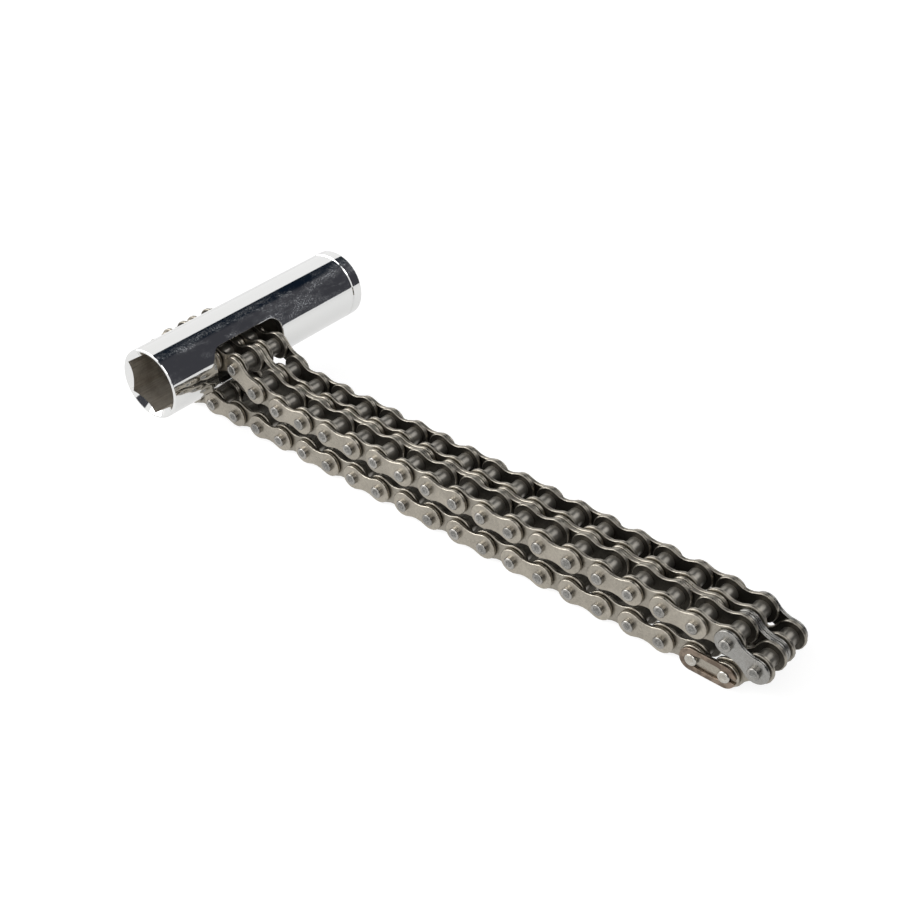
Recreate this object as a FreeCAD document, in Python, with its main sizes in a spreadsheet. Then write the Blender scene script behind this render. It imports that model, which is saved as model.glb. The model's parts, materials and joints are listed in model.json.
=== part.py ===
"""Oil filter socket with a closed loop of two-strand chain threaded through its body.

Millimetres, +Z up. The chain lies flat on Z = 0 in two runs along X. The body is a deep
socket lying along Y on the lower run, with its hexagon at -Y and its square drive at +Y.
The origin is below the middle of the whole object.
"""
import FreeCAD, Part
import math
import os

import Sketcher

V = FreeCAD.Vector

# Driving sizes: name, value, meaning
SIZES = [
    ("chain_pitch", 9.525, "distance between neighbouring pins"),
    ("link_count", 46, "links in the closed loop"),
    ("strand_pitch", 10.13, "distance between the two strands"),
    ("inner_width", 4.77, "gap between the inner plates of a strand"),
    ("plate_thickness", 1.25, "every link plate"),
    ("inner_plate_height", 8.7, "inner plate across its round end"),
    ("inner_plate_waist", 6.1, "inner plate at mid length"),
    ("outer_plate_height", 7.5, "outer plate across its round end"),
    ("outer_plate_waist", 5.3, "outer plate at mid length"),
    ("plate_gap", 0.12, "side clearance between neighbouring links"),
    ("bush_diameter", 5.08, "bush that runs between the inner plates"),
    ("pin_diameter", 3.58, "riveted pin"),
    ("pin_clearance", 0.04, "radial clearance of a pin in its bush"),
    ("pin_overhang", 1.18, "pin end standing out of the outer plate"),
    ("pin_chamfer", 0.25, "bevel of a riveted end"),
    ("clip_thickness", 0.75, "spring clip sheet"),
    ("clip_width", 6.9, "spring clip across its rounded ends"),
    ("clip_mouth", 1.3, "open end of the spring clip"),
    ("groove_depth", 0.38, "clip groove in a connecting pin"),
    ("clip_clearance", 0.03, "play of the clip in its groove"),
    ("body_diameter", 22.0, "outside of the socket body"),
    ("body_length", 81.0, "mouth to drive end"),
    ("bore_wall", 2.2, "wall outside the round bore behind the hexagon"),
    ("hexagon_wall", 2.5, "wall outside the flats of the hexagon"),
    ("hexagon_depth", 14.0, "hexagon from the mouth"),
    ("hexagon_turn", 30.0, "degrees from the windows to a hexagon corner"),
    ("mouth_wall", 0.9, "wall left at the mouth outside the lead-in cone"),
    ("lead_angle", 40.0, "degrees of the lead-in cone from the axis"),
    ("square_width", 12.7, "square drive hole across its flats"),
    ("square_depth", 16.0, "square drive hole from the drive end"),
    ("square_corner", 0.8, "corner radius of the square drive hole"),
    ("square_lead", 0.7, "bevel at the mouth of the square drive hole"),
    ("rim_bevel", 0.5, "outer bevel at both ends of the body"),
    ("band_length", 3.6, "band at the drive end, set off by a groove"),
    ("band_groove", 0.5, "width of the groove"),
    ("band_groove_depth", 0.3, "depth of the groove"),
    ("window_from_mouth", 31.2, "mouth to the middle of the windows"),
    ("window_length", 27.5, "windows along the body"),
    ("window_height", 12.0, "windows across the body"),
    ("window_corner", 3.5, "corner radius of the windows"),
    ("window_angle", 6.7, "degrees that the windows are turned up from level"),
    ("chain_from_mouth", 30.65, "mouth to the middle between the strands"),
    ("run_spacing", 9.81, "lower run of pins to upper run of pins"),
    ("rest_gap", 0.1, "air between the body and the chain it lies on"),
    ("level_start", 0.13, "end of the ramp's rounding to the first pin of the upper run"),
    ("fold_ratio", 19.7, "body axis to the middle of the far fold, over the pitch"),
    ("foot_ratio", 2.69, "body axis to the foot of the ramp, over the pitch"),
    ("ramp_angle", 31.7, "degrees of the ramp from the window to the upper run"),
    ("foot_radius", 20.0, "rounding of the path at the foot of the ramp"),
    ("crest_radius", 3.0, "rounding of the path outside the window"),
]

doc = FreeCAD.newDocument("ChainFilterSocket")
sheet = doc.addObject("Spreadsheet::Sheet", "Sizes")
for row, (alias, value, meaning) in enumerate(SIZES, start=1):
    sheet.set(f"A{row}", meaning)
    sheet.set(f"B{row}", str(value))
    sheet.setAlias(f"B{row}", alias)
doc.recompute()


def size(alias):
    """The value of one cell of the sheet."""
    return float(sheet.get(alias))


def bind(item, prop, formula):
    """Bind a property to a formula, in which $word stands for a cell of the sheet."""
    item.setExpression(prop, formula.replace("$", "Sizes."))


# Sketches and bodies


def new_body(name):
    body = doc.addObject("PartDesign::Body", name)
    body.Label = name
    return body


def new_sketch(body, plane_role, name):
    """A sketch on one of the body's own origin planes."""
    plane = next(f for f in body.Origin.OriginFeatures if f.Role == plane_role)
    sketch = body.newObject("Sketcher::SketchObject", name)
    sketch.AttachmentSupport = [(plane, "")]
    sketch.MapMode = "FlatFace"
    return sketch


def constrain(sketch, kind, *geometry, name=None, formula=None):
    """Add a constraint and, when it has a formula, bind it to the sheet."""
    index = sketch.addConstraint(Sketcher.Constraint(kind, *geometry))
    if formula:
        sketch.renameConstraint(index, name)
        bind(sketch, f"Constraints.{name}", formula)


def circle(sketch, x, z, radius, name, formula):
    """A circle whose radius is bound to a formula. Returns its number in the sketch."""
    number = sketch.addGeometry(Part.Circle(V(x, z, 0), V(0, 0, 1), radius))
    constrain(sketch, "Radius", number, radius, name=name, formula=formula)
    return number


def pad(body, sketch, name, length):
    """Pad a sketch by a formula towards +Y, +X or +Z, whichever its plane faces."""
    feature = body.newObject("PartDesign::Pad", name)
    feature.Profile = sketch
    bind(feature, "Length", length)
    feature.Reversed = sketch.AttachmentSupport[0][0].Role == "XZ_Plane"
    return feature


def waist_radius(height, waist):
    """The formula of the arc that joins two round ends and leaves the waist."""
    return f"(($chain_pitch / 2) ^ 2 + ({waist} / 2) ^ 2 - ({height} / 2) ^ 2) / ({height} - {waist})"


def link_plate(name, height, waist, hole, thickness="$plate_thickness"):
    """A figure-of-eight plate from Y = 0 to its thickness, its holes at X = 0 and one pitch."""
    body = new_body(name)
    sketch = new_sketch(body, "XZ_Plane", name + "_outline")
    pitch = size("chain_pitch")
    end = size(height[1:]) / 2
    half_waist = size(waist[1:]) / 2
    side = ((pitch / 2) ** 2 + half_waist**2 - end**2) / (2 * (end - half_waist))
    up = half_waist + side
    turn = math.atan2(up, pitch / 2)
    full = 2 * math.pi
    axis = V(0, 0, 1)

    def arc(x, z, radius, start, stop):
        return Part.ArcOfCircle(Part.Circle(V(x, z, 0), axis, radius), start, stop)

    sketch.addGeometry(arc(0, 0, end, turn, full - turn))
    sketch.addGeometry(arc(pitch / 2, up, side, math.pi + turn, full - turn))
    sketch.addGeometry(arc(pitch, 0, end, turn - math.pi, math.pi - turn))
    sketch.addGeometry(arc(pitch / 2, -up, side, turn, math.pi - turn))
    left, top, right, bottom = range(4)
    origin, horizontal = -1, -1
    start, stop, centre = 1, 2, 3
    constrain(sketch, "Coincident", left, centre, origin, 1)
    constrain(sketch, "PointOnObject", right, centre, horizontal)
    constrain(sketch, "DistanceX", origin, 1, right, centre, pitch, name="pitch", formula="$chain_pitch")
    constrain(sketch, "Radius", left, end, name="end", formula=f"{height} / 2")
    constrain(sketch, "Equal", left, right)
    constrain(sketch, "Radius", top, side, name="side", formula=waist_radius(height, waist))
    constrain(sketch, "Equal", top, bottom)
    constrain(sketch, "Tangent", left, start, top, start)
    constrain(sketch, "Tangent", top, stop, right, stop)
    constrain(sketch, "Tangent", right, start, bottom, start)
    constrain(sketch, "Tangent", bottom, stop, left, stop)
    first = circle(sketch, 0, 0, 1.0, "hole", f"{hole} / 2")
    second = sketch.addGeometry(Part.Circle(V(pitch, 0, 0), axis, 1.0))
    constrain(sketch, "Coincident", first, centre, origin, 1)
    constrain(sketch, "Coincident", second, centre, right, centre)
    constrain(sketch, "Equal", first, second)
    pad(body, sketch, name + "_pad", thickness)
    return body


def revolved(name, outline):
    """A body turned about Y from corners (radius formula, y formula)."""
    body = new_body(name)
    sketch = new_sketch(body, "XY_Plane", name + "_profile")
    turn_profile(sketch, outline)
    feature = body.newObject("PartDesign::Revolution", name + "_turned")
    feature.Profile = sketch
    feature.ReferenceAxis = (sketch, ["V_Axis"])
    feature.Angle = 360
    return body


def turn_profile(sketch, outline):
    """Closed straight-sided outline whose corners are bound to formulas."""
    points = [V(value_of(x), value_of(y), 0) for x, y in outline]
    count = len(points)
    for n in range(count):
        sketch.addGeometry(Part.LineSegment(points[n], points[(n + 1) % count]))
    for n in range(count):
        constrain(sketch, "Coincident", n, 2, (n + 1) % count, 1)
    for n, (x, y) in enumerate(outline):
        if value_of(x) == 0:
            constrain(sketch, "PointOnObject", n, 1, -2)
        else:
            constrain(sketch, "DistanceX", -1, 1, n, 1, points[n].x, name=f"x{n}", formula=x)
        if value_of(y) == 0:
            constrain(sketch, "PointOnObject", n, 1, -1)
        else:
            constrain(sketch, "DistanceY", -1, 1, n, 1, points[n].y, name=f"y{n}", formula=y)


def value_of(formula):
    """Work out a formula in $words through the sheet's own expression engine."""
    return float(sheet.evalExpression(formula.replace("$", "")))


def copy_of(source, name, x="0", y="0"):
    """The same solid again, moved along the pins (Y) or to the next pin (X)."""
    item = doc.addObject("Part::Compound", name)
    item.Links = [source]
    bind(item, "Placement.Base.x", x)
    bind(item, "Placement.Base.y", y)
    return item


def group_of(name, members):
    """Separate solids that travel together."""
    item = doc.addObject("Part::Compound", name)
    item.Links = members
    return item


# One inner link: two strands, each with two plates on two bushes. Y = 0 is midway between strands

HALF_STRAND = "$strand_pitch / 2"
INNER_FACE = "$inner_width / 2"
OUTER_FACE = "$inner_width / 2 + $plate_thickness + $plate_gap"
CHAIN_FACE = f"({HALF_STRAND} + {OUTER_FACE} + $plate_thickness)"

inner_plate = link_plate("inner_plate", "$inner_plate_height", "$inner_plate_waist", "$bush_diameter")
outer_plate = link_plate("outer_plate", "$outer_plate_height", "$outer_plate_waist", "$pin_diameter")

bush = new_body("bush")
bush_rings = new_sketch(bush, "XZ_Plane", "bush_rings")
for ring_name, ring_formula in (
    ("outside", "$bush_diameter / 2"),
    ("inside", "$pin_diameter / 2 + $pin_clearance"),
):
    ring = circle(bush_rings, 0, 0, 2.0 if ring_name == "inside" else 3.0, ring_name, ring_formula)
    constrain(bush_rings, "Coincident", ring, 3, -1, 1)
pad(bush, bush_rings, "bush_pad", "$inner_width + 2 * $plate_thickness")


def inner_link_members():
    """Four plates and four bushes, each a solid of its own."""
    members = []
    for strand, sign in (("front", "-"), ("back", "")):
        middle = f"{sign}{HALF_STRAND}"
        front = f"{middle} - {INNER_FACE} - $plate_thickness"
        members += [
            copy_of(inner_plate, f"inner_plate_{strand}_1", y=front),
            copy_of(inner_plate, f"inner_plate_{strand}_2", y=f"{middle} + {INNER_FACE}"),
            copy_of(bush, f"bush_{strand}_first", y=front),
            copy_of(bush, f"bush_{strand}_second", x="$chain_pitch", y=front),
        ]
    return members


# One outer link: four plates pressed on two riveted pins


def pin_outline(front, back):
    """Radius and Y of a pin's corners, bevelled at both ends."""
    radius = "$pin_diameter / 2"
    small = f"{radius} - $pin_chamfer"
    return [
        ("0", front),
        (small, front),
        (radius, f"{front} + $pin_chamfer"),
        (radius, f"{back} - $pin_chamfer"),
        (small, back),
        ("0", back),
    ]


PIN_FRONT = f"(-{CHAIN_FACE} - $pin_overhang)"
PIN_BACK = f"({CHAIN_FACE} + $pin_overhang)"

riveted_pin = revolved("riveted_pin", pin_outline(PIN_FRONT, PIN_BACK))

# Pins of the connecting link have a groove for the spring clip just outside the front plate
GROOVE_BACK = f"(-{CHAIN_FACE})"
GROOVE_FRONT = f"(-{CHAIN_FACE} - $clip_thickness - $clip_clearance)"
GROOVE_RADIUS = "($pin_diameter / 2 - $groove_depth)"

grooved_pin = revolved(
    "grooved_pin",
    pin_outline(PIN_FRONT, PIN_BACK)[:3]
    + [
        ("$pin_diameter / 2", GROOVE_FRONT),
        (GROOVE_RADIUS, GROOVE_FRONT),
        (GROOVE_RADIUS, GROOVE_BACK),
        ("$pin_diameter / 2", GROOVE_BACK),
    ]
    + pin_outline(PIN_FRONT, PIN_BACK)[3:],
)


def plates_and_pins(prefix, pin, with_front):
    """Rear plate, two middle plates, two pins and, on a riveted link, the front plate."""
    second_front = f"{HALF_STRAND} - ({OUTER_FACE}) - $plate_thickness"
    members = [
        copy_of(outer_plate, prefix + "_rear_plate", y=f"{HALF_STRAND} + {OUTER_FACE}"),
        copy_of(outer_plate, prefix + "_middle_plate_1", y=f"-{HALF_STRAND} + {OUTER_FACE}"),
        copy_of(outer_plate, prefix + "_middle_plate_2", y=second_front),
        copy_of(pin, prefix + "_pin_1"),
        copy_of(pin, prefix + "_pin_2", x="$chain_pitch"),
    ]
    if with_front:
        members.append(copy_of(outer_plate, prefix + "_front_plate", y=f"-{CHAIN_FACE}"))
    return members


inner_link = group_of("inner_link_pattern", inner_link_members())
outer_link = group_of("outer_link_pattern", plates_and_pins("riveted", riveted_pin, True))
connecting_pins = group_of("connecting_pattern", plates_and_pins("grooved", grooved_pin, False))
connecting_plate = copy_of(outer_plate, "connecting_plate_pattern", y=f"-{CHAIN_FACE}")


# Spring clip: closed round the second pin, open past the first


def spring_clip_body():
    """A flat clip outside the front plate, cut by a slot for the pins and a narrow mouth."""
    body = new_body("clip_sheet")
    outline = new_sketch(body, "XZ_Plane", "clip_outline")
    slot_outline(outline, "0", "$chain_pitch", "$clip_width / 2")
    pad(body, outline, "clip_pad", "$clip_thickness")
    doc.recompute()
    slot = new_sketch(body, "XZ_Plane", "clip_slot")
    slot_outline(slot, "0", "$chain_pitch", f"{GROOVE_RADIUS} + $clip_clearance")
    cut_through(body, slot, "clip_slot_cut")
    doc.recompute()
    mouth = new_sketch(body, "XZ_Plane", "clip_mouth_outline")
    slot_outline(mouth, "-$clip_width", "0", "$clip_mouth / 2")
    cut_through(body, mouth, "clip_mouth_cut")
    return body


def slot_outline(sketch, left, right, radius):
    """Two half circles and two lines along X, bound to formulas."""
    x1, x2, r = value_of(left), value_of(right), value_of(radius)
    axis = V(0, 0, 1)
    sketch.addGeometry(Part.ArcOfCircle(Part.Circle(V(x1, 0, 0), axis, r), math.pi / 2, math.pi * 1.5))
    sketch.addGeometry(Part.LineSegment(V(x1, -r, 0), V(x2, -r, 0)))
    sketch.addGeometry(Part.ArcOfCircle(Part.Circle(V(x2, 0, 0), axis, r), -math.pi / 2, math.pi / 2))
    sketch.addGeometry(Part.LineSegment(V(x2, r, 0), V(x1, r, 0)))
    constrain(sketch, "Tangent", 0, 2, 1, 1)
    constrain(sketch, "Tangent", 1, 2, 2, 1)
    constrain(sketch, "Tangent", 2, 2, 3, 1)
    constrain(sketch, "Tangent", 3, 2, 0, 1)
    constrain(sketch, "Radius", 0, r, name="radius", formula=radius)
    for number, formula, x, label in ((0, left, x1, "left"), (2, right, x2, "right")):
        constrain(sketch, "PointOnObject", number, 3, -1)
        if x == 0:
            constrain(sketch, "PointOnObject", number, 3, -2)
        else:
            constrain(sketch, "DistanceX", -1, 1, number, 3, x, name=label, formula=formula)


def cut_through(body, sketch, name):
    """A pocket through everything, both ways from the sketch."""
    feature = body.newObject("PartDesign::Pocket", name)
    feature.Profile = sketch
    feature.Type = "ThroughAll"
    feature.Midplane = True
    return feature


clip_sheet = spring_clip_body()
clip = copy_of(clip_sheet, "clip_pattern", y=GROOVE_BACK + " - $clip_thickness")


# Socket body: turned blank, hexagon, square drive hole, two windows. Its mouth is at Y = 0


def regular_hexagon(sketch, flats, turn):
    """Six equal sides in a construction circle, one corner turned from the X axis."""
    sides = 6
    radius = value_of(flats) / 2 / math.cos(math.pi / sides)
    first = math.radians(value_of(turn))
    corners = []
    for n in range(sides):
        angle = first + 2 * math.pi * n / sides
        corners.append(V(radius * math.cos(angle), radius * math.sin(angle), 0))
    for n in range(sides):
        sketch.addGeometry(Part.LineSegment(corners[n], corners[(n + 1) % sides]))
    ring = sketch.addGeometry(Part.Circle(V(0, 0, 0), V(0, 0, 1), radius), True)
    spoke = sketch.addGeometry(Part.LineSegment(V(0, 0, 0), corners[0]), True)
    constrain(sketch, "Coincident", ring, 3, -1, 1)
    for n in range(sides):
        constrain(sketch, "Coincident", n, 2, (n + 1) % sides, 1)
        constrain(sketch, "PointOnObject", n, 1, ring)
    for n in range(1, sides):
        constrain(sketch, "Equal", 0, n)
    constrain(sketch, "Radius", ring, radius, name="corners", formula=f"{flats} / 2 / cos(30 deg)")
    constrain(sketch, "Coincident", spoke, 1, -1, 1)
    constrain(sketch, "Coincident", spoke, 2, 0, 1)
    constrain(sketch, "Angle", -1, 1, spoke, 1, first, name="turn", formula=f"{turn} * 1 deg")


def rounded_rectangle(sketch, middle, width, height, corner):
    """A rounded rectangle centred on the sketch's X axis, bound to formulas."""
    x, w, h, r = value_of(middle), value_of(width) / 2, value_of(height) / 2, value_of(corner)
    left, right = x - w, x + w
    axis = V(0, 0, 1)
    centres = [(right - r, h - r), (left + r, h - r), (left + r, r - h), (right - r, r - h)]
    for n, (cx, cy) in enumerate(centres):
        start = n * math.pi / 2
        sketch.addGeometry(Part.ArcOfCircle(Part.Circle(V(cx, cy, 0), axis, r), start, start + math.pi / 2))
    for a, b in (
        (V(right - r, h, 0), V(left + r, h, 0)),
        (V(left, h - r, 0), V(left, r - h, 0)),
        (V(left + r, -h, 0), V(right - r, -h, 0)),
        (V(right, r - h, 0), V(right, h - r, 0)),
    ):
        sketch.addGeometry(Part.LineSegment(a, b))
    for n in range(4):
        side = 4 + n
        constrain(sketch, "Tangent", n, 2, side, 1)
        constrain(sketch, "Tangent", side, 2, (n + 1) % 4, 1)
    for n in range(1, 4):
        constrain(sketch, "Equal", 0, n)
    constrain(sketch, "Horizontal", 4)
    constrain(sketch, "Vertical", 5)
    constrain(sketch, "Radius", 0, r, name="corner", formula=corner)
    top, bottom, far, near = 4, 6, 7, 5
    constrain(sketch, "Symmetric", top, 1, bottom, 2, -1)
    constrain(sketch, "DistanceY", bottom, 1, top, 2, 2 * h, name="height", formula=height)
    constrain(sketch, "DistanceX", near, 1, far, 1, 2 * w, name="width", formula=width)
    if x == 0:
        constrain(sketch, "Symmetric", near, 1, far, 2, -2)
    else:
        constrain(
            sketch, "DistanceX", -1, 1, far, 1, right, name="end", formula=f"{middle} + {width} / 2"
        )


def cut_to(body, sketch, name, depth, towards_back):
    """A pocket of a given depth towards +Y or -Y. It must take something away."""
    before = body.Shape.Volume
    feature = body.newObject("PartDesign::Pocket", name)
    feature.Profile = sketch
    bind(feature, "Length", depth)
    feature.Reversed = not towards_back
    doc.recompute()
    if body.Shape.Volume > before - 1:
        raise RuntimeError(f"{name} cuts nothing")


def cut_cone(body, name, wide, depth, mouth):
    """A lead-in cone turned into one end: its radius at the mouth and how deep its tip lies."""
    sketch = new_sketch(body, "XY_Plane", name + "_profile")
    turn_profile(sketch, [("0", mouth), (wide, mouth), ("0", depth)])
    before = body.Shape.Volume
    feature = body.newObject("PartDesign::Groove", name)
    feature.Profile = sketch
    feature.ReferenceAxis = (sketch, ["V_Axis"])
    feature.Angle = 360
    doc.recompute()
    if body.Shape.Volume > before - 1:
        raise RuntimeError(f"{name} cuts nothing")


BODY_RADIUS = "$body_diameter / 2"
RIM_RADIUS = "$body_diameter / 2 - $rim_bevel"
BORE_RADIUS = "$body_diameter / 2 - $bore_wall"
HEXAGON_WIDTH = "($body_diameter - 2 * $hexagon_wall)"
BAND_START = "$body_length - $band_length"
GROOVE_START = "$body_length - $band_length - $band_groove"
GROOVE_FLOOR = "$body_diameter / 2 - $band_groove_depth"
SQUARE_FLOOR = "$body_length - $square_depth"
LEAD_RADIUS = "($body_diameter / 2 - $rim_bevel - $mouth_wall)"
SQUARE_LEAD_RADIUS = "($square_width / 2 + $square_lead)"


def socket_blank():
    """The body in its own frame, its windows facing X."""
    body = revolved(
        "socket_blank",
        [
            ("0", "0"),
            (RIM_RADIUS, "0"),
            (BODY_RADIUS, "$rim_bevel"),
            (BODY_RADIUS, GROOVE_START),
            (GROOVE_FLOOR, f"{GROOVE_START} + $band_groove_depth / 2"),
            (GROOVE_FLOOR, f"{BAND_START} - $band_groove_depth / 2"),
            (BODY_RADIUS, BAND_START),
            (BODY_RADIUS, "$body_length - $rim_bevel"),
            (RIM_RADIUS, "$body_length"),
            ("0", "$body_length"),
            ("0", SQUARE_FLOOR),
            (BORE_RADIUS, SQUARE_FLOOR),
            (BORE_RADIUS, "$hexagon_depth"),
            ("0", "$hexagon_depth"),
        ],
    )
    doc.recompute()
    hexagon = new_sketch(body, "XZ_Plane", "hexagon")
    regular_hexagon(hexagon, HEXAGON_WIDTH, "$hexagon_turn")
    cut_to(body, hexagon, "hexagon_cut", "$hexagon_depth", True)
    square = new_sketch(body, "XZ_Plane", "square")
    bind(square, "AttachmentOffset.Base.z", "-$body_length")
    rounded_rectangle(square, "0", "$square_width", "$square_width", "$square_corner")
    cut_to(body, square, "square_cut", "$square_depth", False)
    cut_cone(body, "mouth_lead", LEAD_RADIUS, f"{LEAD_RADIUS} / tan($lead_angle * 1 deg)", "0")
    cut_cone(
        body,
        "square_lead_in",
        SQUARE_LEAD_RADIUS,
        f"$body_length - {SQUARE_LEAD_RADIUS}",
        "$body_length",
    )
    window = new_sketch(body, "YZ_Plane", "window")
    rounded_rectangle(window, "$window_from_mouth", "$window_length", "$window_height", "$window_corner")
    cut_through(body, window, "window_cut")
    return body


socket_pattern = socket_blank()
doc.recompute()


# Where the pins lie: a guide path of lines and arcs in the X-Z plane, walked one pitch at a time


class Line:
    def __init__(self, start, end):
        self.start, self.end = start, end
        self.length = math.dist(start, end)

    def point(self, along):
        share = along / self.length
        return tuple(a + (b - a) * share for a, b in zip(self.start, self.end))


class Arc:
    """Part of a circle from one angle, turned by a signed angle (negative is clockwise)."""

    def __init__(self, centre, radius, start, turn):
        self.centre, self.radius, self.start, self.turn = centre, radius, start, turn
        self.length = radius * abs(turn)

    def point(self, along):
        angle = self.start + self.turn * along / self.length
        x, z = self.centre
        return x + self.radius * math.cos(angle), z + self.radius * math.sin(angle)


def offset(point, angle, distance):
    return point[0] + distance * math.cos(angle), point[1] + distance * math.sin(angle)


def meeting(point, angle, other, other_angle):
    """Where two lines cross, each given by a point and an angle."""
    dx, dz = other[0] - point[0], other[1] - point[1]
    across = math.sin(other_angle - angle)
    return offset(point, angle, (dx * math.sin(other_angle) - dz * math.cos(other_angle)) / across)


QUARTER = math.pi / 2
pitch = size("chain_pitch")
end_radius = size("inner_plate_height") / 2
low = end_radius
high = low + size("run_spacing")
axis_z = 2 * end_radius + size("rest_gap") + size("body_diameter") / 2
slope = math.radians(size("window_angle"))
ramp = -math.radians(size("ramp_angle"))


def guide_path(back_x):
    """The closed path, clockwise from the first pin of the upper run, for one place of the back loop."""
    body_axis = (0.0, axis_z)
    fold = (size("fold_ratio") * pitch, (low + high) / 2)
    foot = (size("foot_ratio") * pitch, high)
    crest = meeting(body_axis, slope, foot, ramp)
    foot_radius = size("foot_radius")
    foot_reach = foot_radius * math.tan(-ramp / 2)
    crest_radius = size("crest_radius")
    crest_reach = crest_radius * math.tan((slope - ramp) / 2)
    # the back loop touches the lower run and the line through the windows
    back_radius = (axis_z - low) * math.cos(slope) + back_x * math.sin(slope)
    back_radius /= 1 + math.cos(slope)
    back = (back_x, low + back_radius)
    crest_start = offset(crest, slope, -crest_reach)
    crest_middle = offset(crest_start, slope - QUARTER, crest_radius)
    crest_end = offset(crest, ramp, crest_reach)
    foot_start = offset(foot, ramp, -foot_reach)
    foot_middle = offset(foot_start, ramp + QUARTER, foot_radius)
    foot_end = offset(foot, 0, foot_reach)
    first = offset(foot_end, 0, size("level_start"))
    return [
        Line(first, (fold[0], high)),
        Arc(fold, (high - low) / 2, QUARTER, -math.pi),
        Line((fold[0], low), (back_x, low)),
        Arc(back, back_radius, -QUARTER, slope - math.pi),
        Line(offset(back, slope + QUARTER, back_radius), crest_start),
        Arc(crest_middle, crest_radius, slope + QUARTER, ramp - slope),
        Line(crest_end, foot_start),
        Arc(foot_middle, foot_radius, ramp - QUARTER, -ramp),
        Line(foot_end, first),
    ]


def point_on(path, along):
    for piece in path:
        if along <= piece.length:
            return piece.point(along)
        along -= piece.length
    return path[0].point(along)


def next_pin(path, along):
    """How far along the path the next pin lies, one straight pitch from this one."""
    here = point_on(path, along)
    step = pitch / 20
    near = far = along + pitch * 0.999
    while math.dist(here, point_on(path, far)) < pitch:
        near, far = far, far + step
    for _ in range(50):
        middle = (near + far) / 2
        if math.dist(here, point_on(path, middle)) < pitch:
            near = middle
        else:
            far = middle
    return far


def walk(back_x):
    """The pins for one place of the back loop, and how far the last step misses the first pin."""
    path = guide_path(back_x)
    total = sum(piece.length for piece in path)
    along, pins = 0.0, []
    for _ in range(int(size("link_count"))):
        pins.append(point_on(path, along))
        along = next_pin(path, along)
    return pins, total - along


def closed_loop():
    """The pins of the closed chain, found by moving the back loop until the last link meets the first."""
    near, far = -0.5 * pitch, -6 * pitch
    for _ in range(60):
        middle = (near + far) / 2
        if walk(middle)[1] < 0:
            near = middle
        else:
            far = middle
    return walk(far)[0]


pins = closed_loop()
lowest_x = min(x for x, z in pins) - end_radius
highest_x = max(x for x, z in pins) + end_radius
shift = -(lowest_x + highest_x) / 2
chain_y = size("chain_from_mouth") - size("body_length") / 2


def turned(angle_degrees, x, y, z):
    """A placement turned about Y so that local X rises by an angle."""
    return FreeCAD.Placement(V(x, y, z), FreeCAD.Rotation(V(0, 1, 0), -angle_degrees))


def piece(name, pattern, placement):
    """One piece of the real object, with its place in the assembly."""
    item = group_of(name, [pattern])
    item.Label = name
    item.Placement = placement
    return item


# Pieces, in the order of the chain from the first link past the window

pieces = [
    piece(
        "socket_body",
        socket_pattern,
        turned(size("window_angle"), shift, -size("body_length") / 2, axis_z),
    )
]
ramp_links = 2
riveted_upper_links = 10
order = pins[-ramp_links:] + pins[:-ramp_links]
connecting_number = 2 * riveted_upper_links
inner_number = outer_number = 0
for number, start in enumerate(order):
    end = order[(number + 1) % len(order)]
    angle = math.degrees(math.atan2(end[1] - start[1], end[0] - start[0]))
    place = turned(angle, start[0] + shift, chain_y, start[1])
    if number % 2:
        inner_number += 1
        pieces.append(piece(f"inner_link_{inner_number:02d}", inner_link, place))
    elif number == connecting_number:
        pieces.append(piece("connecting_link", connecting_pins, place))
        pieces.append(piece("connecting_plate", connecting_plate, place))
        pieces.append(piece("spring_clip", clip, place))
    else:
        outer_number += 1
        pieces.append(piece(f"outer_link_{outer_number:02d}", outer_link, place))

doc.recompute()
for item in doc.Objects:
    if "Invalid" in item.State or "Error" in item.State:
        raise RuntimeError(f"{item.Label}: {item.State}")
for item in pieces:
    if item.Shape.isNull() or not item.Shape.isValid():
        raise RuntimeError(f"{item.Label} has no valid shape")

os.makedirs("parts", exist_ok=True)
for item in pieces:
    item.Shape.exportStep(f"parts/{item.Label}.step")
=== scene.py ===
# Dresses the packed chain filter socket: a chromed tube socket on a closed loop of two-strand chain

import json
import math
from functools import partial

import bmesh
import bpy
from bmesh.types import BMEdge, BMFace, BMVert
from bpy.props import FloatProperty, FloatVectorProperty
from mathutils import Matrix, Vector

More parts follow.
